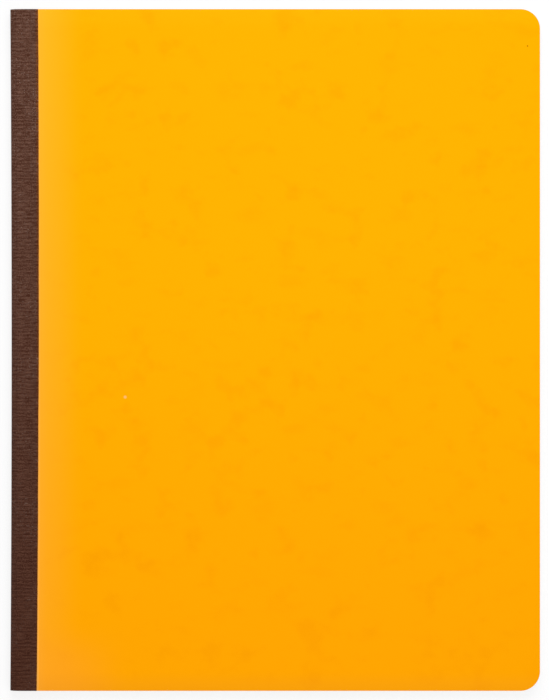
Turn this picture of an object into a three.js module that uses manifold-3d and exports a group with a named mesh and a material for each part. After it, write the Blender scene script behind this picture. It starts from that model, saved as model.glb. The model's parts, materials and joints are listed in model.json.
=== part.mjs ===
// A saddle-stapled notebook, lying shut on its back cover.
// Millimetres, +Z up. The spine is at -X, the fore edge at +X and the head at +Y.
// The origin is the middle of the footprint, on the surface that the notebook lies on.
//
// Every folded layer wraps one line, the fold axis, which runs along Y at half the thickness.
// A round core about that axis holds the bends: the folds of the sheets, of the cover board
// and of the spine cloth, with the staples through them. The leaves and the cover panels go on
// from the core as flat pieces, and they turn about the fold axis without ever entering it.

import * as THREE from 'three';
import { mergeVertices } from 'three/addons/utils/BufferGeometryUtils.js';
import Module from 'manifold-3d';

const wasm = await Module();
wasm.setup();

// Trimmed format
const HEIGHT = 320;
const WIDTH = 248.5;
const CORNER_RADIUS = 9.2;

// Text block
const PAGES = 64;
const PAGES_A_SHEET = 4;
const PAPER = 0.12;
const FOLD_AIR = 0.014;

// Cover board and spine cloth
const BOARD = 0.5;
const CLOTH = 0.25;
const CLOTH_LAP = 12.8;
const LAYER_GAP = 0.02;

// Staples, made of round wire
const WIRE = 0.4;
const WIRE_CLEARANCE = 0.05;
const WIRE_BEND = 0.3;
const CROWN = 12;
const CLINCH = 4.2;
const STAPLE_INSET = 80;

// Room for the flat pieces to turn about the core
const CORE_RIM = 0.05;
const TURN_CLEARANCE = 0.1;

// Facets
const FOLD_SEGMENTS = 6;
const CORNER_SEGMENTS = 4;
const BEND_SEGMENTS = 4;
const WIRE_SIDES = 8;

// Only whole sheets can be folded and stapled.
const SHEETS = Math.round(PAGES / PAGES_A_SHEET);

// The clinched wire lies inside the innermost fold. The leaves share its room out evenly.
const WIRE_ROOM = WIRE / 2 + WIRE_CLEARANCE;
const FOLD_PITCH = PAPER + FOLD_AIR;
const HALF_TEXT = WIRE_ROOM + SHEETS * FOLD_PITCH;
const LEAF_PITCH = HALF_TEXT / SHEETS;

// Distances of the layers' middles from the plane of the fold axis
const BOARD_LEVEL = HALF_TEXT + LAYER_GAP + BOARD / 2;
const BOARD_OUTSIDE = BOARD_LEVEL + BOARD / 2;
const CLOTH_LEVEL = BOARD_OUTSIDE + LAYER_GAP + CLOTH / 2;
const HALF_BOOK = CLOTH_LEVEL + CLOTH / 2;

// The fold axis, the round core about it and the circle that turning pieces stay outside
const FOLD_X = HALF_BOOK - WIDTH / 2;
const FOLD_Z = HALF_BOOK;
const CORE_RADIUS = HALF_BOOK + CORE_RIM;
const SWING_RADIUS = CORE_RADIUS + TURN_CLEARANCE;

const boardMaterial = new THREE.MeshStandardMaterial({ color: 0xfeb201, roughness: 0.35, metalness: 0 });
const clothMaterial = new THREE.MeshStandardMaterial({ color: 0x563a2d, roughness: 0.8, metalness: 0 });
const paperMaterial = new THREE.MeshStandardMaterial({ color: 0xf6f4ee, roughness: 0.9, metalness: 0 });
const wireMaterial = new THREE.MeshStandardMaterial({ color: 0xb9bcc0, roughness: 0.3, metalness: 1 });

const notebook = new THREE.Group();

function addPiece(name, geometry, material) {
  const mesh = new THREE.Mesh(geometry, material.clone());
  mesh.name = name;
  notebook.add(mesh);
}

// How far a circle about the fold axis reaches towards the fore edge at a given level.
function reach(radius, level) {
  return Math.sqrt(radius ** 2 - level ** 2);
}

function toSolid(geometry) {
  const bare = geometry.clone();
  bare.deleteAttribute('normal');
  bare.deleteAttribute('uv');
  const merged = mergeVertices(bare);
  const mesh = new wasm.Mesh({
    numProp: 3,
    vertProperties: new Float32Array(merged.attributes.position.array),
    triVerts: new Uint32Array(merged.index.array),
  });
  return new wasm.Manifold(mesh);
}

function toGeometry(solid) {
  const mesh = solid.getMesh();
  const geometry = new THREE.BufferGeometry();
  geometry.setAttribute('position', new THREE.BufferAttribute(mesh.vertProperties, 3));
  geometry.setIndex(new THREE.BufferAttribute(mesh.triVerts, 1));
  geometry.computeVertexNormals();
  return geometry;
}

function cutAway(geometry, cutters) {
  const cut = (solid, cutter) => solid.subtract(toSolid(cutter));
  return toGeometry(cutters.reduce(cut, toSolid(geometry)));
}

// Section of a folded layer: a half ring round the fold axis, and two short tails that run
// to the core's rim. The tails of a sheet draw in or out from the bend to the leaves' level.
function foldSection(bendRadius, level, thickness) {
  const half = thickness / 2;
  const outerTail = reach(CORE_RADIUS, level + half);
  const innerTail = reach(CORE_RADIUS, level - half);
  const section = new THREE.Shape();
  section.moveTo(outerTail, level + half);
  section.lineTo(0, bendRadius + half);
  section.absarc(0, 0, bendRadius + half, Math.PI / 2, 1.5 * Math.PI, false);
  section.lineTo(outerTail, -level - half);
  section.lineTo(innerTail, half - level);
  section.absarc(0, 0, bendRadius - half, 1.5 * Math.PI, Math.PI / 2, true);
  section.lineTo(innerTail, level - half);
  return section;
}

function foldedStrip(bendRadius, level, thickness) {
  const geometry = new THREE.ExtrudeGeometry(foldSection(bendRadius, level, thickness), {
    depth: HEIGHT,
    bevelEnabled: false,
    curveSegments: FOLD_SEGMENTS,
  });
  geometry.rotateX(Math.PI / 2);
  geometry.translate(FOLD_X, HEIGHT / 2, FOLD_Z);
  return geometry;
}

// Outline of a leaf or a cover panel, with its two fore-edge corners rounded.
function leafOutline() {
  const cornerX = WIDTH / 2 - CORNER_RADIUS;
  const cornerY = HEIGHT / 2 - CORNER_RADIUS;
  const outline = new THREE.Shape();
  outline.moveTo(FOLD_X, -HEIGHT / 2);
  outline.lineTo(cornerX, -HEIGHT / 2);
  outline.absarc(cornerX, -cornerY, CORNER_RADIUS, -Math.PI / 2, 0, false);
  outline.absarc(cornerX, cornerY, CORNER_RADIUS, 0, Math.PI / 2, false);
  outline.lineTo(FOLD_X, HEIGHT / 2);
  return outline;
}

// Outline of the cloth that laps onto a cover panel, with square corners.
function lapOutline() {
  const lapEdge = CLOTH_LAP - WIDTH / 2;
  const outline = new THREE.Shape();
  outline.moveTo(FOLD_X, -HEIGHT / 2);
  outline.lineTo(lapEdge, -HEIGHT / 2);
  outline.lineTo(lapEdge, HEIGHT / 2);
  outline.lineTo(FOLD_X, HEIGHT / 2);
  return outline;
}

// A flat piece at a level above the fold axis, or below it where the level is negative.
// Its edge beside the spine is cut back to the circle that turning pieces stay outside.
function flatPiece(outline, level, thickness) {
  const geometry = new THREE.ExtrudeGeometry(outline, {
    depth: thickness,
    bevelEnabled: false,
    curveSegments: CORNER_SEGMENTS,
  });
  geometry.translate(0, 0, FOLD_Z + level - thickness / 2);
  const position = geometry.attributes.position;
  for (let i = 0; i < position.count; i += 1) {
    if (position.getX(i) < FOLD_X + SWING_RADIUS / 2) {
      position.setX(i, FOLD_X + reach(SWING_RADIUS, position.getZ(i) - FOLD_Z));
    }
  }
  geometry.computeVertexNormals();
  return geometry;
}

const staplePlaces = [
  { name: 'staple_head', y: HEIGHT / 2 - STAPLE_INSET },
  { name: 'staple_tail', y: STAPLE_INSET - HEIGHT / 2 },
];

// The four holes that the staple legs pass through, from outside the board to the fold axis.
function legHoles() {
  return staplePlaces.flatMap(({ y }) => [y - CROWN / 2, y + CROWN / 2]).map((legY) => {
    const hole = new THREE.CylinderGeometry(WIRE_ROOM, WIRE_ROOM, CORE_RADIUS, WIRE_SIDES);
    hole.rotateZ(Math.PI / 2);
    hole.translate(FOLD_X - CORE_RADIUS / 2, legY, FOLD_Z);
    return hole;
  });
}

// The grooves in the outside of the board that take the crowns, so the cloth lies flat on them.
function crownGrooves() {
  const depth = WIRE + WIRE_CLEARANCE / 2;
  const length = CROWN + 2 * WIRE_ROOM;
  return staplePlaces.map(({ y }) => {
    const groove = new THREE.BoxGeometry(2 * depth, length, 2 * WIRE_ROOM);
    groove.translate(FOLD_X - BOARD_OUTSIDE, y, FOLD_Z);
    return groove;
  });
}

// The middle of a wire: straight runs between corners, each corner rounded by one bend.
function bentLine(corners, bend) {
  const path = new THREE.CurvePath();
  let from = corners[0];
  for (let i = 1; i < corners.length - 1; i += 1) {
    const corner = corners[i];
    const before = corners[i - 1].clone().sub(corner).setLength(bend).add(corner);
    const after = corners[i + 1].clone().sub(corner).setLength(bend).add(corner);
    path.add(new THREE.LineCurve3(from, before));
    path.add(new THREE.QuadraticBezierCurve3(before, corner, after));
    from = after;
  }
  path.add(new THREE.LineCurve3(from, corners[corners.length - 1]));
  return path.getPoints(BEND_SEGMENTS);
}

// Round wire along a line that lies in a level plane, with both ends closed.
function wire(points, radius) {
  const up = new THREE.Vector3(0, 0, 1);
  const vertices = [];
  const faces = [];
  points.forEach((point, i) => {
    const before = points[Math.max(i - 1, 0)];
    const after = points[Math.min(i + 1, points.length - 1)];
    const side = after.clone().sub(before).normalize().cross(up);
    for (let j = 0; j < WIRE_SIDES; j += 1) {
      const turn = (2 * Math.PI * j) / WIRE_SIDES;
      const rim = side.clone().multiplyScalar(radius * Math.cos(turn));
      rim.addScaledVector(up, radius * Math.sin(turn)).add(point);
      vertices.push(rim.x, rim.y, rim.z);
    }
  });
  for (let i = 0; i < points.length - 1; i += 1) {
    for (let j = 0; j < WIRE_SIDES; j += 1) {
      const here = i * WIRE_SIDES + j;
      const beside = i * WIRE_SIDES + ((j + 1) % WIRE_SIDES);
      faces.push(here, beside + WIRE_SIDES, beside);
      faces.push(here, here + WIRE_SIDES, beside + WIRE_SIDES);
    }
  }
  const last = (points.length - 1) * WIRE_SIDES;
  for (let j = 1; j < WIRE_SIDES - 1; j += 1) {
    faces.push(0, j, j + 1);
    faces.push(last, last + j + 1, last + j);
  }
  const geometry = new THREE.BufferGeometry();
  geometry.setAttribute('position', new THREE.Float32BufferAttribute(vertices, 3));
  geometry.setIndex(faces);
  geometry.computeVertexNormals();
  return geometry;
}

// One staple: the crown outside the fold, two legs through it, and the ends clinched inwards.
function staple(y) {
  const crownX = FOLD_X - BOARD_OUTSIDE + WIRE / 2;
  const low = y - CROWN / 2;
  const high = y + CROWN / 2;
  const corners = [
    [FOLD_X, low + CLINCH],
    [FOLD_X, low],
    [crownX, low],
    [crownX, high],
    [FOLD_X, high],
    [FOLD_X, high - CLINCH],
  ].map(([cornerX, cornerY]) => new THREE.Vector3(cornerX, cornerY, FOLD_Z));
  return wire(bentLine(corners, WIRE_BEND), WIRE / 2);
}

// Sheet 1 is the outermost and wraps all the others.
function addSheets() {
  for (let i = 0; i < SHEETS; i += 1) {
    const name = `sheet_${String(SHEETS - i).padStart(2, '0')}`;
    const bendRadius = WIRE_ROOM + (i + 0.5) * FOLD_PITCH;
    const level = (i + 0.5) * LEAF_PITCH;
    const fold = cutAway(foldedStrip(bendRadius, level, PAPER), legHoles());
    addPiece(`${name}_fold`, fold, paperMaterial);
    addPiece(`${name}_front_leaf`, flatPiece(leafOutline(), level, PAPER), paperMaterial);
    addPiece(`${name}_rear_leaf`, flatPiece(leafOutline(), -level, PAPER), paperMaterial);
  }
}

function addCover() {
  const fold = foldedStrip(BOARD_LEVEL, BOARD_LEVEL, BOARD);
  addPiece('cover_fold', cutAway(fold, [...legHoles(), ...crownGrooves()]), boardMaterial);
  addPiece('front_cover', flatPiece(leafOutline(), BOARD_LEVEL, BOARD), boardMaterial);
  addPiece('back_cover', flatPiece(leafOutline(), -BOARD_LEVEL, BOARD), boardMaterial);
}

function addSpineCloth() {
  addPiece('cloth_fold', foldedStrip(CLOTH_LEVEL, CLOTH_LEVEL, CLOTH), clothMaterial);
  addPiece('cloth_front', flatPiece(lapOutline(), CLOTH_LEVEL, CLOTH), clothMaterial);
  addPiece('cloth_back', flatPiece(lapOutline(), -CLOTH_LEVEL, CLOTH), clothMaterial);
}

function addStaples() {
  for (const { name, y } of staplePlaces) {
    addPiece(name, staple(y), wireMaterial);
  }
}

addSheets();
addCover();
addSpineCloth();
addStaples();

export default notebook;
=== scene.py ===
import json
import math

import bmesh
import bpy
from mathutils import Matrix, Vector, noise


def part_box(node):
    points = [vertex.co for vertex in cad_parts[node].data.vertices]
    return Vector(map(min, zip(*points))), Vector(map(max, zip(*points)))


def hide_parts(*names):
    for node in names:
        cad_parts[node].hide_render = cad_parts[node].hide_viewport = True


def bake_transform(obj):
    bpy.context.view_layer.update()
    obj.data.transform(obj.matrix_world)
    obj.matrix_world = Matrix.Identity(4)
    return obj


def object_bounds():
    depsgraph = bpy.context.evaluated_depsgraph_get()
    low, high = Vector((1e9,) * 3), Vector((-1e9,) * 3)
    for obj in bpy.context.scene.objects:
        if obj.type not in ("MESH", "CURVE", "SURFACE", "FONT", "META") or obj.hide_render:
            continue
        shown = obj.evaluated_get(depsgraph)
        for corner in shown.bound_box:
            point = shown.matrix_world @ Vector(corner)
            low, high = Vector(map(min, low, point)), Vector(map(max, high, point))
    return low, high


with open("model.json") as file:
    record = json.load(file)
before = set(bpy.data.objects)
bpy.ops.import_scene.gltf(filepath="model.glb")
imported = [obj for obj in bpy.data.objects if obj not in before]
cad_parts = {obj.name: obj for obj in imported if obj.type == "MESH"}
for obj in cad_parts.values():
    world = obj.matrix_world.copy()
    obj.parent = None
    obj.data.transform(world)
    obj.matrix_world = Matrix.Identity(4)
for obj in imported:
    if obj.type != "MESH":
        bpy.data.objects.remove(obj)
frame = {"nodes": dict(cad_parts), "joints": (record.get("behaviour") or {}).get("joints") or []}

bl_info = {
    "name": "Stapled notebook",
    "version": (1, 0, 0),
    "blender": (4, 5, 0),
    "location": "3D View > Sidebar > Notebook",
    "description": "Models a stapled notebook with its cover, spine cloth, sheets and staples",
    "category": "Add Mesh",
}

CAD_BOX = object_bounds()
MM = 0.001

# Points that are nearer than this count as one
TINY = 1e-6


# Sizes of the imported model

JOINTS = {joint["name"]: joint for joint in frame["joints"]}
FOLD = Vector(JOINTS["middle_opening"]["pos_m"])
SHEETS = sum(node.endswith("_front_leaf") for node in frame["nodes"])
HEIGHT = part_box("front_cover")[1].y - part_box("front_cover")[0].y
FORE_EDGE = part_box("front_cover")[1].x - FOLD.x
LAP_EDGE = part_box("cloth_front")[1].x - FOLD.x
CORNER_RADIUS = 9.2 * MM
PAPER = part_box("sheet_01_front_leaf")[1].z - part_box("sheet_01_front_leaf")[0].z


def layer(node):
    """The level of a CAD node's middle above the fold axis, and its thickness."""
    low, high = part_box(node)
    return (low.z + high.z) / 2 - FOLD.z, high.z - low.z


BOARD_LEVEL, BOARD = layer("front_cover")
CLOTH_LEVEL, CLOTH = layer("cloth_front")

# The strip beside the spine, in distances from the fold axis, where the cover bends when it opens
BEND_START = 2.0 * MM
BEND_END = 3.8 * MM

# The bodies on the two sides of each of those bends
FRONT_HINGE = ("front_leaf_01", "front_cover")
BACK_HINGE = ("rear_leaf_01", "back_cover")

# How far from the fold axis the bow of the spine starts to fade out
BOW_FADE_START = 10.0 * MM

# Faces that meet at less than this are shaded as one surface
SMOOTH_SHEETS = math.radians(35)
SMOOTH_WIRE = math.radians(50)

# Edges sharper than this are worn
WORN_EDGE = math.radians(60)

# Painted sheen on the card: how far it reaches from the cloth, and from the cloth and the tail in
# the corner between them
PAINTED_SHEEN_WIDTH = 23 * MM
TAIL_SHEEN_WIDTH = 45 * MM
TAIL_SHEEN_HEIGHT = 34 * MM

# Specks in the card: the place of each on the laid-out cover, and its radius
DARK_SPECK = ((243.65 * MM, 142.7 * MM), 0.52 * MM)
PALE_SPECK = ((54.7 * MM, -22.1 * MM), 0.9 * MM)

# Waves to a metre along the cut edge of the cloth
LONG_WAVES = 45
SHORT_WAVES = 260

# What shows as white, where a strength of 1 is white
WHITE_LIGHT = {"Color": (1, 1, 1, 1), "Strength": 1.0}

# The photograph, whose frame the camera takes
PHOTO_WIDTH_PX = 549
PHOTO_HEIGHT_PX = 700
COVER_HEIGHT_PX = 681.8
FORE_EDGE_PX = 540.0


class NotebookSizes(bpy.types.PropertyGroup):
    """Sizes of the notebook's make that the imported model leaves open."""

    corner_steps: bpy.props.IntProperty(
        name="Corner steps", description="Steps round a fore-edge corner", default=12, min=3
    )
    bend_steps: bpy.props.IntProperty(
        name="Bend steps",
        description="Steps from a leaf round to the middle of its fold",
        default=10,
        min=3,
    )
    spine_bow: bpy.props.FloatProperty(
        name="Spine bow",
        description="How far the middle of the spine draws in from its ends",
        default=0.6 * MM,
        unit="LENGTH",
    )
    fold_shrink: bpy.props.FloatProperty(
        name="Fold shrink",
        description="How far the ends of a fold draw in from the ends of its leaves",
        default=0.08 * MM,
        unit="LENGTH",
    )
    bow_reach: bpy.props.FloatProperty(
        name="Bow reach",
        description="Width over which the bow fades out",
        default=70 * MM,
        unit="LENGTH",
    )
    cloth_waver: bpy.props.FloatProperty(
        name="Cloth waver",
        description="How far the cut edge of the cloth strays from a straight line",
        default=0.12 * MM,
        unit="LENGTH",
    )
    cloth_lean: bpy.props.FloatProperty(
        name="Cloth lean",
        description="How much further the cloth laps over at the head than at the tail",
        default=0.7 * MM,
        unit="LENGTH",
    )
    cloth_excess: bpy.props.FloatProperty(
        name="Cloth excess",
        description="How much further the cloth laps over than in the packed model",
        default=0.1 * MM,
        unit="LENGTH",
    )
    edge_wear: bpy.props.FloatProperty(
        name="Edge wear",
        description="Rounding of the board's cut edges",
        default=0.06 * MM,
        unit="LENGTH",
    )
    square: bpy.props.FloatProperty(
        name="Ruled square", description="Pitch of the ruled squares", default=5 * MM, unit="LENGTH"
    )
    line: bpy.props.FloatProperty(
        name="Ruled line", description="Width of a ruled line", default=0.18 * MM, unit="LENGTH"
    )
    rib: bpy.props.FloatProperty(
        name="Cloth rib",
        description="Pitch of the ribs across the cloth",
        default=1.83 * MM,
        unit="LENGTH",
    )
    thread: bpy.props.FloatProperty(
        name="Thread",
        description="Pitch of the threads in the cloth",
        default=0.47 * MM,
        unit="LENGTH",
    )
    staple_bend: bpy.props.FloatProperty(
        name="Staple bend",
        description="Radius of a bend, at the middle of the wire",
        default=0.3 * MM,
        unit="LENGTH",
    )
    staple_clinch: bpy.props.FloatProperty(
        name="Staple clinch",
        description="Length of an end of the wire that is bent in",
        default=4.2 * MM,
        unit="LENGTH",
    )
    spine_room: bpy.props.FloatProperty(
        name="Room under the spine",
        description="Depth of the floor's dip where a cover that is folded right out passes",
        default=1.2 * MM,
        unit="LENGTH",
    )
    cover_room: bpy.props.FloatProperty(
        name="Room for the cover",
        description="How much deeper the dip gets where the fore edge of such a cover lies",
        default=2.3 * MM,
        unit="LENGTH",
    )


class NotebookColours(bpy.types.PropertyGroup):
    """Colours of the notebook, as light that they reflect."""

    # The board's colour at the head and at the tail: the change between them is painted light, for
    # light that falls off towards the tail
    board_head: bpy.props.FloatVectorProperty(
        name="Board at the head",
        description="Glazed card of the cover",
        subtype="COLOR",
        default=(0.985, 0.416, 0.0),
    )
    board_tail: bpy.props.FloatVectorProperty(
        name="Board at the tail",
        description="Glazed card of the cover",
        subtype="COLOR",
        default=(0.985, 0.365, 0.0),
    )
    board_mottle: bpy.props.FloatVectorProperty(
        name="Board mottle",
        description="How far fibres darken the card",
        subtype="COLOR",
        default=(0.965, 0.90, 1.0),
    )
    # A painted sheen beside the spine, at the head and at the tail
    painted_sheen_head: bpy.props.FloatVectorProperty(
        name="Rubbed board at the head",
        description="Card beside the spine",
        subtype="COLOR",
        default=(0.98, 0.450, 0.016),
    )
    painted_sheen_tail: bpy.props.FloatVectorProperty(
        name="Rubbed board at the tail",
        description="Card beside the spine",
        subtype="COLOR",
        default=(0.98, 0.388, 0.017),
    )
    # A painted sheen along the tail, most of all by the spine
    painted_tail_sheen: bpy.props.FloatVectorProperty(
        name="Thumbed board",
        description="Card along the tail, most of all by the spine",
        subtype="COLOR",
        default=(0.99, 0.350, 0.019),
    )
    board_pale: bpy.props.FloatVectorProperty(
        name="Pale line",
        description="Card along the cut cloth",
        subtype="COLOR",
        default=(0.97, 0.44, 0.075),
    )
    dark_speck: bpy.props.FloatVectorProperty(
        name="Dark speck",
        description="Speck in the card near the fore edge",
        subtype="COLOR",
        default=(0.35, 0.10, 0.0),
    )
    pale_speck: bpy.props.FloatVectorProperty(
        name="Pale speck",
        description="Speck in the card near the spine",
        subtype="COLOR",
        default=(0.97, 0.55, 0.25),
    )
    # The cloth's colour at the head and at the tail: the change between them is painted sheen and
    # light, lighter at the head
    cloth_head: bpy.props.FloatVectorProperty(
        name="Cloth at the head",
        description="Threads of the cloth",
        subtype="COLOR",
        default=(0.156, 0.0767, 0.0524),
    )
    cloth_tail: bpy.props.FloatVectorProperty(
        name="Cloth at the tail",
        description="Threads of the cloth",
        subtype="COLOR",
        default=(0.0850, 0.0315, 0.0178),
    )
    # Partly painted shade in the furrows between the ribs and threads, partly the cloth's own grain
    cloth_furrow: bpy.props.FloatVectorProperty(
        name="Cloth furrow",
        description="How far furrows darken the cloth",
        subtype="COLOR",
        default=(0.38, 0.235, 0.16),
    )
    cloth_edge: bpy.props.FloatVectorProperty(
        name="Cut edge",
        description="How far the cloth is warmer at its cut edge",
        subtype="COLOR",
        default=(1.4, 0.96, 0.34),
    )
    # Painted shade along the spine's bend
    painted_crease_shade: bpy.props.FloatVectorProperty(
        name="Cloth crease",
        description="How far the cloth is darker along the spine's bend",
        subtype="COLOR",
        default=(0.6, 0.55, 0.55),
    )
    cloth_fleck: bpy.props.FloatVectorProperty(
        name="Cloth fleck",
        description="Paler threads",
        subtype="COLOR",
        default=(0.28, 0.185, 0.148),
    )
    paper: bpy.props.FloatVectorProperty(
        name="Paper", description="Writing paper", subtype="COLOR", default=(0.86, 0.85, 0.80)
    )
    paper_cloud: bpy.props.FloatVectorProperty(
        name="Paper cloud",
        description="How far the faint clouds in the paper are darker",
        subtype="COLOR",
        default=(0.97, 0.96, 0.94),
    )
    paper_tone: bpy.props.FloatVectorProperty(
        name="Paper tone",
        description="How far the darkest sheet is darker",
        subtype="COLOR",
        default=(0.93, 0.92, 0.90),
    )
    ruling: bpy.props.FloatVectorProperty(
        name="Ruling", description="Ruled squares", subtype="COLOR", default=(0.42, 0.45, 0.66)
    )
    wire: bpy.props.FloatVectorProperty(
        name="Wire", description="Staple wire", subtype="COLOR", default=(0.62, 0.62, 0.61)
    )
    wire_dark: bpy.props.FloatVectorProperty(
        name="Darker wire",
        description="How far the wire is darker where it is smoothest",
        subtype="COLOR",
        default=(0.78, 0.78, 0.78),
    )
    floor: bpy.props.FloatVectorProperty(
        name="Floor", description="Floor and backdrop", subtype="COLOR", default=(0.93, 0.93, 0.93)
    )


# Materials


class Amount:
    """A value inside a material. Arithmetic on it adds Math nodes."""

    def __init__(self, finish, socket):
        self.finish = finish
        self.socket = socket

    def _math(self, operation, *values):
        return self.finish.node("ShaderNodeMath", {"operation": operation}, dict(enumerate(values)))

    def __add__(self, other):
        return self._math("ADD", self, other)

    def __radd__(self, other):
        return self._math("ADD", other, self)

    def __sub__(self, other):
        return self._math("SUBTRACT", self, other)

    def __rsub__(self, other):
        return self._math("SUBTRACT", other, self)

    def __mul__(self, other):
        return self._math("MULTIPLY", self, other)

    def __rmul__(self, other):
        return self._math("MULTIPLY", other, self)

    def __abs__(self):
        return self._math("ABSOLUTE", self)

    def fraction(self):
        return self._math("FRACT", self)

    def sine(self):
        return self._math("SINE", self)

    def most(self, other):
        return self._math("MAXIMUM", self, other)

    def least(self, other):
        return self._math("MINIMUM", self, other)

    def share(self):
        """The value, kept from 0 to 1."""
        return self.most(0.0).least(1.0)


class Finish:
    """The node tree of a material or a world, to which nodes are added."""

    def __init__(self, holder, **surface):
        holder.use_nodes = True
        self.holder = holder
        self.tree = holder.node_tree
        self.shader = self.tree.nodes.get("Principled BSDF")
        for socket, value in surface.items():
            self.shader.inputs[socket.replace("_", " ")].default_value = value

    def node(self, kind, settings=None, inputs=None, output=0):
        """Adds a node, sets it up, fills its sockets and gives back one of its outputs."""
        made = self.tree.nodes.new(kind)
        for key, value in (settings or {}).items():
            setattr(made, key, value)
        for socket, value in (inputs or {}).items():
            if isinstance(value, Amount):
                self.tree.links.new(value.socket, made.inputs[socket])
            else:
                made.inputs[socket].default_value = value
        return Amount(self, made.outputs[output])

    def parts(self, kind, names, inputs=None):
        """Adds a node and gives back several of its outputs."""
        outputs = self.node(kind, inputs=inputs).socket.node.outputs
        return [Amount(self, outputs[name]) for name in names]

    def place(self, output="UV"):
        return self.node("ShaderNodeTexCoord", output=output)

    def split(self, place):
        """The parts of a place along the three axes."""
        return self.parts("ShaderNodeSeparateXYZ", "XYZ", {"Vector": place})

    def cloud(self, place, scale, detail=2.0, roughness=0.5, stretch=(1, 1, 1)):
        """Noise from 0 to 1 with so many features to a metre, drawn out along an axis."""
        drawn = self.node("ShaderNodeMapping", inputs={"Vector": place, "Scale": stretch})
        values = {"Vector": drawn, "Scale": scale, "Detail": detail, "Roughness": roughness}
        return self.node("ShaderNodeTexNoise", inputs=values)

    def ease(self, value, start, end, low=0.0, high=1.0):
        """A smooth step from low to high while the value goes from start to end."""
        numbers = {"From Min": start, "From Max": end, "To Min": low, "To Max": high}
        smooth = {"interpolation_type": "SMOOTHSTEP"}
        return self.node("ShaderNodeMapRange", smooth, {"Value": value, **numbers})

    def blend(self, share, first, second, kind="MIX"):
        """A colour between two others, or the first one times the second with kind MULTIPLY."""
        inputs = {"Factor": share}
        for socket, tint in ((6, first), (7, second)):
            inputs[socket] = tint if isinstance(tint, Amount) else (*tint, 1)
        settings = {"data_type": "RGBA", "blend_type": kind}
        return self.node("ShaderNodeMix", settings, inputs, output=2)

    def spot(self, place, middle, radius):
        """1 inside a small round spot on the laid-out piece and 0 outside."""
        measure = {0: place, 1: (*middle, 0)}
        far = self.node("ShaderNodeVectorMath", {"operation": "DISTANCE"}, measure, output="Value")
        return self.ease(far, radius, radius * 0.5)

    def set(self, socket, value):
        self.tree.links.new(value.socket, self.shader.inputs[socket])

    def relief(self, height, depth, strength=1.0):
        """Bumps of the given depth in metres."""
        values = {"Height": height, "Distance": depth, "Strength": strength}
        self.set("Normal", self.node("ShaderNodeBump", inputs=values))


def colour(name):
    return tuple(getattr(bpy.context.scene.notebook_colours, name))


def size(name):
    return getattr(bpy.context.scene.notebook_sizes, name)


def board_finish():
    """Glazed pressboard: orange, mottled with darker fibres, painted paler towards the head as
    painted light, with a painted sheen beside the spine and along the tail.
    """
    card = bpy.data.materials.new("glazed_pressboard")
    finish = Finish(card, Specular_IOR_Level=0.01, Coat_Roughness=0.3)
    place = finish.place()
    out, along, _ = finish.split(place)
    tail, head = -0.5 * HEIGHT, 0.5 * HEIGHT
    lap = LAP_EDGE + BOARD_LEVEL * math.pi / 2

    # Mottles: small spots, thicker in some patches, fine streaks and a broad cloudiness
    small = finish.cloud(place, 88, detail=2.5)
    patches = finish.cloud(place, 26, detail=1.0)
    spots = finish.ease(small * 0.70 + patches * 0.38, 0.57, 0.74)
    broad = finish.cloud(place, 9, detail=1.0)
    streaks = finish.cloud(place, 85, detail=4.0, stretch=(0.75, 1.2, 1))
    mottle = spots * 0.7 + finish.ease(streaks, 0.5, 0.75) * 0.45 + (broad - 0.5) * 0.3
    mottle = mottle.share() * finish.ease(along, tail, -0.1 * HEIGHT, 0.7, 1.0)
    # The card is painted paler towards the head: painted light, for light that falls off towards
    # the tail
    to_head = finish.ease(along, -0.62 * HEIGHT, 0.2 * HEIGHT)
    plain = finish.blend(to_head, colour("board_tail"), colour("board_head"))
    tint = finish.blend(mottle, plain, colour("board_mottle"), "MULTIPLY")

    # Painted sheen beside the spine, stronger and paler towards the head
    painted_sheen_band = finish.ease(abs(out), lap + PAINTED_SHEEN_WIDTH, lap - 4 * MM)
    height = finish.ease(along, tail, head)
    painted_light = finish.blend(height, colour("painted_sheen_tail"), colour("painted_sheen_head"))
    tint = finish.blend(painted_sheen_band * (to_head * 0.4 + 0.6), tint, painted_light)

    # Painted sheen along the tail, most of all in its corner by the spine: a slightly darker orange
    # with a little blue in it
    corner = finish.ease(along, tail + TAIL_SHEEN_HEIGHT, tail + 8 * MM)
    corner = corner * finish.ease(abs(out), lap + TAIL_SHEEN_WIDTH, lap + 12 * MM)
    rim = finish.ease(along, tail + 10 * MM, tail + 2 * MM)
    tint = finish.blend(corner * 0.42 + rim * 0.13, tint, colour("painted_tail_sheen"))

    # The pale line along the cut cloth, with a soft edge, and two specks
    pale = finish.ease(abs(out), lap + 1.0 * MM, lap + 0.3 * MM) * 0.8
    pale = pale.most(finish.ease(abs(out), lap + 5.0 * MM, lap) * 0.11)
    tint = finish.blend(pale, tint, colour("board_pale"))
    dark_speck = finish.spot(place, *DARK_SPECK)
    tint = finish.blend(dark_speck * 0.7, tint, colour("dark_speck"))
    pale_speck = finish.spot(place, *PALE_SPECK)
    finish.set("Base Color", finish.blend(pale_speck * 0.6, tint, colour("pale_speck")))

    # The glaze, which shows most at a low angle, over fine fibres and shallow dents
    fibres = finish.cloud(place, 900, detail=5.0, roughness=0.6)
    dents = finish.cloud(place, 120)
    finish.set("Roughness", fibres * 0.12 + spots * 0.06 + 0.36)
    facing = finish.node("ShaderNodeLayerWeight", inputs={"Blend": 0.5}, output="Facing")
    finish.set("Coat Weight", finish.ease(facing, 0.15, 0.9, 0.0, 0.7))
    finish.relief(fibres * 0.35 + dents * 0.65, 0.03 * MM, 0.6)
    return finish.holder


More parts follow.
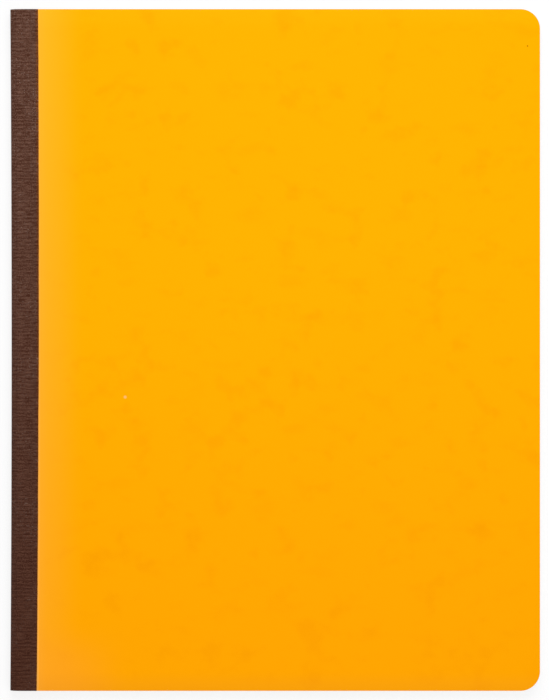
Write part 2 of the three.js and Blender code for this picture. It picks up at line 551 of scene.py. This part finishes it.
def cloth_finish():
    """Book cloth: dark brown, painted lighter towards the head as painted sheen and light, with
    ribs across, dark furrows partly of painted shade, painted shade in the creases, a warm cut edge
    and pale flecks.
    """
    cloth = bpy.data.materials.new("book_cloth")
    sheen = {"Sheen_Weight": 0.02, "Sheen_Roughness": 0.5}
    finish = Finish(cloth, Roughness=0.85, Specular_IOR_Level=0.08, **sheen)
    place = finish.place()
    out, along, _ = finish.split(place)
    tail, head = -0.5 * HEIGHT, 0.5 * HEIGHT
    bend = CLOTH_LEVEL * math.pi / 2
    lap = LAP_EDGE + bend

    # Ribs and threads, which sway a little
    sway = finish.cloud(place, 160, stretch=(0.5, 1, 1)) - 0.5
    turn = 2 * math.pi
    rib = (along * (turn / size("rib")) + sway * 2.6).sine() * 0.5 + 0.5
    weft = (along * (turn / size("thread")) + sway * 3.0).sine() * 0.5 + 0.5
    warp = (out * (turn / size("thread")) + sway * 3.0).sine() * 0.5 + 0.5
    patches = finish.cloud(place, 75, detail=1.0, stretch=(1.3, 0.7, 1))
    ribbed = finish.ease(patches, 0.38, 0.62, 0.7, 1.0)
    uneven = finish.cloud(place, 420, detail=3.0, stretch=(0.3, 1.4, 1))

    # Dark furrows between them, painted shade where the ribs and threads dip, broken up by a grain
    # of the cloth's own colour, part of which is drawn out across
    drawn = finish.cloud(place, 1150, detail=0.0, stretch=(0.22, 2.4, 1))
    grain = finish.cloud(place, 1900, detail=0.0)
    furrow = (1 - rib) * ribbed * 0.42 + (1 - weft) * 0.12 + 0.38
    furrow = furrow + (drawn - 0.5) * 1.7 + (grain - 0.5) * 2.3
    furrow = furrow * finish.ease(along, tail, head, 0.85, 1.1)
    # The cloth is painted lighter towards the head: painted sheen and light, for light that falls
    # off towards the tail
    to_head = finish.ease(along, -0.6 * HEIGHT, 0.6 * HEIGHT)
    plain = finish.blend(to_head, colour("cloth_tail"), colour("cloth_head"))
    tint = finish.blend(furrow.share(), plain, colour("cloth_furrow"), "MULTIPLY")

    # The cut edge, and painted shade in the creases along the spine, shown in places
    edge = finish.ease(abs(out), lap - 1.1 * MM, lap - 0.3 * MM)
    tint = finish.blend(edge * 0.9, tint, colour("cloth_edge"), "MULTIPLY")
    crease = finish.ease(abs(abs(out) - bend * 0.9), 0.5 * MM, 0.1 * MM)
    painted_light = finish.ease(finish.cloud(place, 30, stretch=(0.2, 1, 1)), 0.42, 0.6)
    tint = finish.blend(crease * painted_light * 0.5, tint, colour("painted_crease_shade"), "MULTIPLY")

    # Pale flecks, long and round ones, in patches, clearer towards the head
    strands = finish.cloud(place, 900, detail=1.0, stretch=(0.3, 1, 1))
    long_flecks = finish.ease(strands, 0.66, 0.76)
    dots = finish.ease(grain, 0.68, 0.77)
    flecked = finish.ease(finish.cloud(place, 50, detail=1.0), 0.36, 0.60)
    fleck = (long_flecks * 0.6 + dots).least(1.0) * flecked
    fleck = fleck * finish.ease(along, tail, head, 0.4, 0.95)
    finish.set("Base Color", finish.blend(fleck, tint, colour("cloth_fleck")))
    finish.relief(rib * ribbed * 0.5 + weft * warp * 0.3 + uneven * 0.3, 0.08 * MM, 0.7)
    return finish.holder


def paper_finish():
    """Writing paper in ruled squares, with a bare margin round the page and no line in the fold."""
    finish = Finish(bpy.data.materials.new("ruled_paper"), Roughness=0.85, Specular_IOR_Level=0.25)
    place = finish.place()
    out, along, _ = finish.split(place)
    half_line = size("line") / 2
    pitch = size("square")

    def ruled(value):
        off = abs((value * (1 / pitch) + 0.5).fraction() - 0.5) * pitch
        return finish.ease(off, half_line * 1.4, half_line * 0.6)

    tooth = finish.cloud(place, 1800, detail=3.0)
    cloudy = finish.cloud(place, 30)
    sheet = finish.blend(cloudy, colour("paper"), colour("paper_cloud"), "MULTIPLY")
    bare = pitch * 1.5
    inside = finish.ease(abs(along), HEIGHT / 2 - bare, HEIGHT / 2 - bare - half_line)
    inside = inside * finish.ease(abs(out), FORE_EDGE - bare, FORE_EDGE - bare - half_line)
    tone = finish.node("ShaderNodeAttribute", {"attribute_name": "sheet_tone"}, output="Fac")
    sheet = finish.blend(tone, sheet, colour("paper_tone"), "MULTIPLY")
    grid = ruled(out + pitch / 2).most(ruled(along)) * inside
    finish.set("Base Color", finish.blend(grid * 0.55, sheet, colour("ruling")))
    finish.relief(tooth, 0.01 * MM, 0.4)
    return finish.holder


def wire_finish():
    """Drawn galvanised wire, a little dull, with fine marks along it."""
    finish = Finish(bpy.data.materials.new("staple_wire"), Metallic=1.0)
    place = finish.place("Object")
    dull = finish.cloud(place, 1500)
    marks = finish.cloud(place, 4000, detail=1.0, stretch=(1, 0.1, 1))
    tint = finish.blend(1 - dull, colour("wire"), colour("wire_dark"), "MULTIPLY")
    finish.set("Base Color", tint)
    finish.set("Roughness", dull * 0.2 + marks * 0.1 + 0.2)
    return finish.holder


# Modelling


def pick(piece):
    """Makes a piece the only one selected, and the active one."""
    bpy.ops.object.select_all(action="DESELECT")
    piece.select_set(True)
    bpy.context.view_layer.objects.active = piece


def select_where(test):
    """Selects what passes a test of its place, in edit mode, and nothing else."""
    mesh = bmesh.from_edit_mesh(bpy.context.object.data)
    for face in mesh.faces:
        face.select_set(False)
    for edge in mesh.edges:
        edge.select_set(False)
    for vertex in mesh.verts:
        vertex.select_set(test(vertex.co))
    mesh.select_flush(True)
    bmesh.update_edit_mesh(bpy.context.object.data)


def add_strip(name, near, far, level):
    """Starts a level strip of the notebook's height, between two distances from the fold axis."""
    bpy.ops.object.select_all(action="DESELECT")
    bpy.ops.mesh.primitive_plane_add(size=1)
    piece = bpy.context.object
    piece.name = piece.data.name = name
    bpy.ops.object.mode_set(mode="EDIT")
    bpy.ops.transform.resize(value=(far - near, HEIGHT, 1))
    bpy.ops.transform.translate(value=((near + far) / 2, 0, level))
    return piece


def round_corners():
    select_where(lambda place: place.x > FORE_EDGE - TINY)
    bpy.ops.mesh.bevel(affect="VERTICES", offset=CORNER_RADIUS, segments=size("corner_steps"))


def cut_across(places, direction):
    """Cuts the strip by planes at the given places along a direction, so that it can bend there."""
    for place in places:
        bpy.ops.mesh.select_all(action="SELECT")
        bpy.ops.mesh.bisect(plane_co=Vector(direction) * place, plane_no=direction)


def cut_for_bow():
    """Cuts along the height that let a strip follow the bow of the spine."""
    steps = 9
    ends = HEIGHT / 2 - CORNER_RADIUS
    cut_across([ends * step / steps for step in range(-steps, steps + 1)], (0, 1, 0))


def cut_for_fade():
    """Cuts beside the spine that let the bow fade out."""
    shares = (0.15, 0.35, 0.6, 0.8, 1.0)
    cut_across([BEND_START + size("bow_reach") * share for share in shares], (1, 0, 0))


def cut_for_hinge():
    """Cuts that let a panel or a lap bend smoothly beside the spine."""
    steps = 2 * size("bend_steps")
    width = BEND_END - BEND_START
    cut_across([BEND_START + width * step / steps for step in range(1, steps + 1)], (1, 0, 0))


def mirror_over(axes):
    """Mirrors the active piece, from edit mode and back to it."""
    bpy.ops.object.mode_set(mode="OBJECT")
    bpy.ops.object.modifier_add(type="MIRROR")
    mirror = bpy.context.object.modifiers[-1]
    mirror.use_axis = axes
    mirror.merge_threshold = TINY
    bpy.ops.object.modifier_apply(modifier=mirror.name)
    bpy.ops.object.mode_set(mode="EDIT")


def wrap_the_fold(near):
    """Carries the strip's spine edge in to the fold axis and round it, and mirrors it below."""
    select_where(lambda place: place.x < near + TINY)
    bpy.ops.mesh.extrude_region_move(TRANSFORM_OT_translate={"value": (-near, 0, 0)})
    steps = size("bend_steps")
    bpy.ops.mesh.spin(steps=steps, angle=math.pi / 2, center=(0, 0, 0), axis=(0, 1, 0))
    mirror_over((False, False, True))


def join_up():
    """Merges what meets, turns the faces outwards and leaves edit mode."""
    bpy.ops.mesh.select_all(action="SELECT")
    bpy.ops.mesh.remove_doubles(threshold=TINY)
    bpy.ops.mesh.normals_make_consistent(inside=False)
    bpy.ops.object.mode_set(mode="OBJECT")


def draw_in(piece, level):
    """Shortens the fold a little, so its ends lie behind the leaves' ends when it opens."""
    for vertex in piece.data.vertices:
        share = max(0.0, (BEND_START - vertex.co.x) / (BEND_START + level))
        vertex.co.y *= 1 - share * size("fold_shrink") / (HEIGHT / 2)


def lay_out(piece, level):
    """Gives the piece a map of itself laid flat: distance from the fold's middle, and height."""
    mesh = piece.data
    layout = mesh.uv_layers.active or mesh.uv_layers.new(name="laid_flat")
    for loop in mesh.loops:
        place = mesh.vertices[loop.vertex_index].co
        if place.x > 0:
            out = math.copysign(place.x + level * math.pi / 2, place.z)
        else:
            out = level * math.atan2(place.z, -place.x)
        layout.data[loop.index].uv = (out, place.y)


def thicken(piece, thickness, wear=0.0):
    """Gives the piece its thickness, to both sides, and rounds its cut edges by the wear."""
    bpy.ops.object.modifier_add(type="SOLIDIFY")
    wall = piece.modifiers[-1]
    wall.thickness = thickness
    wall.offset = 0
    wall.use_even_offset = True
    bpy.ops.object.modifier_apply(modifier=wall.name)
    if wear:
        bpy.ops.object.modifier_add(type="BEVEL")
        bevel = piece.modifiers[-1]
        bevel.width = wear
        bevel.segments = 2
        bevel.limit_method = "ANGLE"
        bevel.angle_limit = WORN_EDGE
        bpy.ops.object.modifier_apply(modifier=bevel.name)
    bpy.ops.object.mode_set(mode="EDIT")
    bpy.ops.mesh.select_all(action="SELECT")
    bpy.ops.mesh.normals_make_consistent(inside=False)
    bpy.ops.object.mode_set(mode="OBJECT")


def bowed_share(height):
    """How much of the bow shows at a height: inwards at the middle and outwards at the ends."""
    return 0.5 - (2 * height / HEIGHT) ** 2


def bow(piece):
    """Draws the spine side in a little at the middle of its height, and lets it out at the ends."""
    for vertex in piece.data.vertices:
        share = bowed_share(vertex.co.y)
        fade = max(0.0, min(1.0, 1 - (vertex.co.x - BOW_FADE_START) / size("bow_reach")))
        vertex.co.x += size("spine_bow") * share * fade * fade * (3 - 2 * fade)


def put_in_place(piece, place, smooth, material, nodes):
    """Places and smooths the piece, gives it its material and hides the CAD nodes it stands for."""
    piece.location = place
    bpy.ops.object.transform_apply(location=True, rotation=True, scale=True)
    bpy.ops.object.shade_smooth_by_angle(angle=smooth)
    piece.data.materials.append(material)
    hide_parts(*nodes)


def finish_sheet(piece, material, nodes):
    """Finishes a piece of paper, card or cloth that was modelled round the fold axis."""
    bow(piece)
    put_in_place(piece, (FOLD.x, 0, FOLD.z), SMOOTH_SHEETS, material, nodes)


def blend_round_fold(piece, level):
    """Bakes the piece's placement into its mesh; the points on the fold axis below and above the
    fold are worked out and not used.
    """
    low = (FOLD.x, 0, FOLD.z - level)
    high = (FOLD.x, 0, FOLD.z + level)
    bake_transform(piece)


def blend_at_hinge(piece, block, cover):
    """Bakes the piece's placement into its mesh."""
    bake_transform(piece)


def add_outer_fold(name, level, thickness, material, node):
    """Models the fold of the card or the cloth, which turns between the outermost leaves."""
    near = BEND_START / 2
    piece = add_strip(name, near, BEND_START, level)
    cut_for_bow()
    wrap_the_fold(near)
    join_up()
    draw_in(piece, level)
    lay_out(piece, level)
    thicken(piece, thickness)
    finish_sheet(piece, material, [node])
    blend_round_fold(piece, level - thickness / 2)
    return piece


class NOTEBOOK_OT_sheets(bpy.types.Operator):
    """Models the folded sheets, each one leaf over the fold and one under it."""

    bl_idname = "notebook.sheets"
    bl_label = "Folded sheets"

    def execute(self, context):
        material = paper_finish()
        for number in range(1, SHEETS + 1):
            self.add_sheet(number, material)
        return {"FINISHED"}

    def add_sheet(self, number, material):
        nodes = [f"sheet_{number:02d}_{part}" for part in ("fold", "front_leaf", "rear_leaf")]
        level, _ = layer(nodes[1])
        piece = add_strip(f"folded_sheet_{number:02d}", BEND_START, FORE_EDGE, level)
        round_corners()
        cut_for_bow()
        cut_for_fade()
        wrap_the_fold(BEND_START)
        join_up()
        draw_in(piece, level)
        lay_out(piece, level)
        thicken(piece, PAPER)
        # Every sheet has a tone of its own, which its number draws
        tone = piece.data.attributes.new("sheet_tone", "FLOAT", "POINT")
        shade = 0.5 + 0.5 * noise.noise(Vector((number * 3.7, 0.3, 0.8)))
        tone.data.foreach_set("value", [shade] * len(piece.data.vertices))
        finish_sheet(piece, material, nodes)
        blend_round_fold(piece, level - PAPER / 2)


class NOTEBOOK_OT_cover(bpy.types.Operator):
    """Models the card cover: its fold, and the two panels that bend beside it."""

    bl_idname = "notebook.cover"
    bl_label = "Card cover"

    def execute(self, context):
        material = board_finish()
        slot = "cover_board"
        add_outer_fold("cover_spine", BOARD_LEVEL, BOARD, material, "cover_fold")
        self.add_panel("front_panel", 1, "front_cover", FRONT_HINGE, material, slot)
        self.add_panel("back_panel", -1, "back_cover", BACK_HINGE, material, slot)
        return {"FINISHED"}

    def add_panel(self, name, side, node, bodies, material, slot):
        piece = add_strip(name, BEND_START, FORE_EDGE, side * BOARD_LEVEL)
        round_corners()
        cut_for_bow()
        cut_for_fade()
        cut_for_hinge()
        join_up()
        lay_out(piece, BOARD_LEVEL)
        thicken(piece, BOARD, size("edge_wear"))
        finish_sheet(piece, material, [node])
        blend_at_hinge(piece, *bodies)


class NOTEBOOK_OT_cloth(bpy.types.Operator):
    """Models the spine cloth: round the fold, and lapped onto each panel of the cover."""

    bl_idname = "notebook.cloth"
    bl_label = "Spine cloth"

    def execute(self, context):
        material = cloth_finish()
        slot = "spine_cloth"
        middle = add_outer_fold("cloth_spine", CLOTH_LEVEL, CLOTH, material, "cloth_fold")
        front = self.add_lap("cloth_front_lap", 1, "cloth_front", FRONT_HINGE, material, slot)
        back = self.add_lap("cloth_back_lap", -1, "cloth_back", BACK_HINGE, material, slot)
        return {"FINISHED"}

    def add_lap(self, name, side, node, bodies, material, slot):
        piece = add_strip(name, BEND_START, LAP_EDGE, side * CLOTH_LEVEL)
        steps = 60
        cuts = [HEIGHT / 2 * (step / steps - 1) for step in range(1, 2 * steps)]
        cut_across(cuts, (0, 1, 0))
        cut_for_hinge()
        join_up()
        self.waver(piece, side)
        lay_out(piece, CLOTH_LEVEL)
        thicken(piece, CLOTH)
        finish_sheet(piece, material, [node])
        blend_at_hinge(piece, *bodies)
        return piece

    def waver(self, piece, side):
        """Lets the cut edge of the cloth stray a little from a straight line."""
        for vertex in piece.data.vertices:
            if vertex.co.x > LAP_EDGE - TINY:
                # The side and the last number only make each line of waves a different one
                long_waves = noise.noise(Vector((vertex.co.y * LONG_WAVES, side * 7.3, 0.4)))
                short_waves = noise.noise(Vector((vertex.co.y * SHORT_WAVES, side * 3.1, 1.9)))
                askew = size("cloth_excess") + size("cloth_lean") * vertex.co.y / HEIGHT
                vertex.co.x += size("cloth_waver") * (long_waves + 0.5 * short_waves) + askew


class NOTEBOOK_OT_staples(bpy.types.Operator):
    """Models one staple by drawing its wire along and round its bends, and copies it."""

    bl_idname = "notebook.staples"
    bl_label = "Wire staples"

    def execute(self, context):
        material = wire_finish()
        low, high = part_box("staple_head")
        wire = high.z - low.z
        first = self.add_staple(wire, high.y - low.y - wire, FOLD.x - low.x - wire / 2)
        pick(first)
        bpy.ops.object.duplicate(linked=False)
        second = bpy.context.object
        for piece, node in ((first, "staple_head"), (second, "staple_tail")):
            self.set_staple(piece, node, material)
        return {"FINISHED"}

    def add_staple(self, wire, crown, depth):
        """Half a staple from the tip of its clinch to the middle of its crown, then mirrored."""
        bend = size("staple_bend")
        clinch = size("staple_clinch")
        leg = crown / 2
        bpy.ops.object.select_all(action="DESELECT")
        across = (math.pi / 2, 0, 0)
        bpy.ops.mesh.primitive_circle_add(vertices=16, radius=wire / 2, rotation=across)
        piece = bpy.context.object
        bpy.ops.object.transform_apply(location=True, rotation=True, scale=True)
        bpy.ops.object.mode_set(mode="EDIT")
        bpy.ops.transform.translate(value=(0, leg - clinch, 0))
        bpy.ops.mesh.edge_face_add()
        select_where(lambda place: place.y > leg - clinch - TINY)
        bpy.ops.mesh.extrude_edges_move(TRANSFORM_OT_translate={"value": (0, clinch - bend, 0)})
        corner = (-bend, leg - bend, 0)
        bpy.ops.mesh.spin(steps=6, angle=math.pi / 2, center=corner, axis=(0, 0, -1))
        bpy.ops.mesh.extrude_edges_move(TRANSFORM_OT_translate={"value": (2 * bend - depth, 0, 0)})
        corner = (bend - depth, leg - bend, 0)
        bpy.ops.mesh.spin(steps=6, angle=math.pi / 2, center=corner, axis=(0, 0, -1))
        bpy.ops.mesh.extrude_edges_move(TRANSFORM_OT_translate={"value": (0, bend - leg, 0)})
        mirror_over((False, True, False))
        join_up()
        return piece

    def set_staple(self, piece, node, material):
        low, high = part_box(node)
        middle = (low.y + high.y) / 2
        pick(piece)
        piece.name = piece.data.name = f"wire_{node}"
        place = (FOLD.x + size("spine_bow") * bowed_share(middle), middle, FOLD.z)
        put_in_place(piece, place, SMOOTH_WIRE, material, [node])
        blend_round_fold(piece, level=1)


class NOTEBOOK_OT_stage(bpy.types.Operator):
    """Sets the floor, the light and the camera of the photograph."""

    bl_idname = "notebook.stage"
    bl_label = "Stage"

    def execute(self, context):
        self.add_floor()
        self.light_the_world(context.scene)
        self.add_lamp("key_lamp", place=(0.02, 0.95, 1.15), power=15.2)
        self.add_lamp("fill_lamp", place=(0.4, -0.75, 1.25), power=5.0)
        self.add_camera(context.scene)
        context.scene.view_settings.view_transform = "Standard"
        return {"FINISHED"}

    def seen_white(self, finish, plain, white, share):
        """Mixes in a share of white for the eye and for reflections, and not for other light."""
        rays = ("Is Camera Ray", "Is Glossy Ray", "Is Transmission Ray")
        camera, glossy, through = finish.parts("ShaderNodeLightPath", rays)
        seen = camera.most(glossy).most(through)
        return finish.node("ShaderNodeMixShader", inputs={0: seen * share, 1: plain, 2: white})

    def add_floor(self):
        """A level floor that dips beside the spine, where a cover that is folded right out lies."""
        bpy.ops.object.select_all(action="DESELECT")
        bpy.ops.mesh.primitive_plane_add(size=60, location=(0, 0, CAD_BOX[0].z))
        floor = bpy.context.object
        floor.name = "floor"
        bpy.ops.object.mode_set(mode="EDIT")
        spine = CAD_BOX[0].x
        # Where each slope of the dip starts and ends, and how far down it goes
        under_spine = (spine + 30 * MM, spine + 14 * MM, size("spine_room"))
        beside_spine = (spine, 2 * spine - FORE_EDGE, size("cover_room"))
        for start, end, drop in (under_spine, beside_spine):
            cut_across((start, end), (1, 0, 0))
            select_where(lambda place: place.x < end + TINY)
            bpy.ops.transform.translate(value=(0, 0, -drop))
        bpy.ops.object.mode_set(mode="OBJECT")
        finish = Finish(bpy.data.materials.new("pale_floor"), Roughness=0.9, Specular_IOR_Level=0.0)
        finish.shader.inputs["Base Color"].default_value = (*colour("floor"), 1)
        white = finish.node("ShaderNodeEmission", inputs=WHITE_LIGHT)
        plain = Amount(finish, finish.shader.outputs[0])
        mixed = self.seen_white(finish, plain, white, share=0.8)
        surface = finish.tree.nodes["Material Output"].inputs["Surface"]
        finish.tree.links.new(mixed.socket, surface)
        floor.data.materials.append(finish.holder)

    def light_the_world(self, scene):
        finish = Finish(bpy.data.worlds.new("studio"))
        scene.world = finish.holder
        soft = finish.node("ShaderNodeBackground", inputs={**WHITE_LIGHT, "Strength": 0.46})
        white = finish.node("ShaderNodeBackground", inputs=WHITE_LIGHT)
        mixed = self.seen_white(finish, soft, white, share=1.0)
        surface = finish.tree.nodes["World Output"].inputs["Surface"]
        finish.tree.links.new(mixed.socket, surface)

    def add_lamp(self, name, place, power):
        data = bpy.data.lights.new(name, "AREA")
        data.shape = "SQUARE"
        data.size = 1.1
        data.energy = power
        lamp = bpy.data.objects.new(name, data)
        bpy.context.scene.collection.objects.link(lamp)
        lamp.location = place
        lamp.rotation_euler = (-Vector(place)).to_track_quat("-Z", "Y").to_euler()

    def add_camera(self, scene):
        """Straight over the cover with a long lens, framed as in the photograph."""
        data = bpy.data.cameras.new("camera")
        data.lens = 200
        data.sensor_width = 36
        camera = bpy.data.objects.new("camera", data)
        scene.collection.objects.link(camera)
        pixel = HEIGHT / COVER_HEIGHT_PX
        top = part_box("front_cover")[1].z
        distance = PHOTO_HEIGHT_PX * pixel * data.lens / data.sensor_width
        middle = FOLD.x + FORE_EDGE - (FORE_EDGE_PX - PHOTO_WIDTH_PX / 2) * pixel
        camera.location = (middle, 0, top + distance)
        scene.camera = camera


class NOTEBOOK_PT_panel(bpy.types.Panel):
    """Lists the pieces of the notebook in the sidebar, with their sizes and colours."""

    bl_idname = "NOTEBOOK_PT_panel"
    bl_label = "Stapled notebook"
    bl_space_type = "VIEW_3D"
    bl_region_type = "UI"
    bl_category = "Notebook"

    def draw(self, context):
        column = self.layout.column()
        for operator in STEPS:
            column.operator(operator.bl_idname)
        for group in (context.scene.notebook_sizes, context.scene.notebook_colours):
            for name in group.__annotations__:
                column.prop(group, name)


STEPS = (
    NOTEBOOK_OT_sheets,
    NOTEBOOK_OT_cover,
    NOTEBOOK_OT_cloth,
    NOTEBOOK_OT_staples,
    NOTEBOOK_OT_stage,
)
CLASSES = (NotebookSizes, NotebookColours, *STEPS, NOTEBOOK_PT_panel)


def register():
    for item in CLASSES:
        bpy.utils.register_class(item)
    bpy.types.Scene.notebook_sizes = bpy.props.PointerProperty(type=NotebookSizes)
    bpy.types.Scene.notebook_colours = bpy.props.PointerProperty(type=NotebookColours)


def unregister():
    del bpy.types.Scene.notebook_colours
    del bpy.types.Scene.notebook_sizes
    for item in reversed(CLASSES):
        bpy.utils.unregister_class(item)


def main():
    register()
    bpy.ops.notebook.sheets()
    bpy.ops.notebook.cover()
    bpy.ops.notebook.cloth()
    bpy.ops.notebook.staples()
    bpy.ops.notebook.stage()


if __name__ == "__main__":
    main()
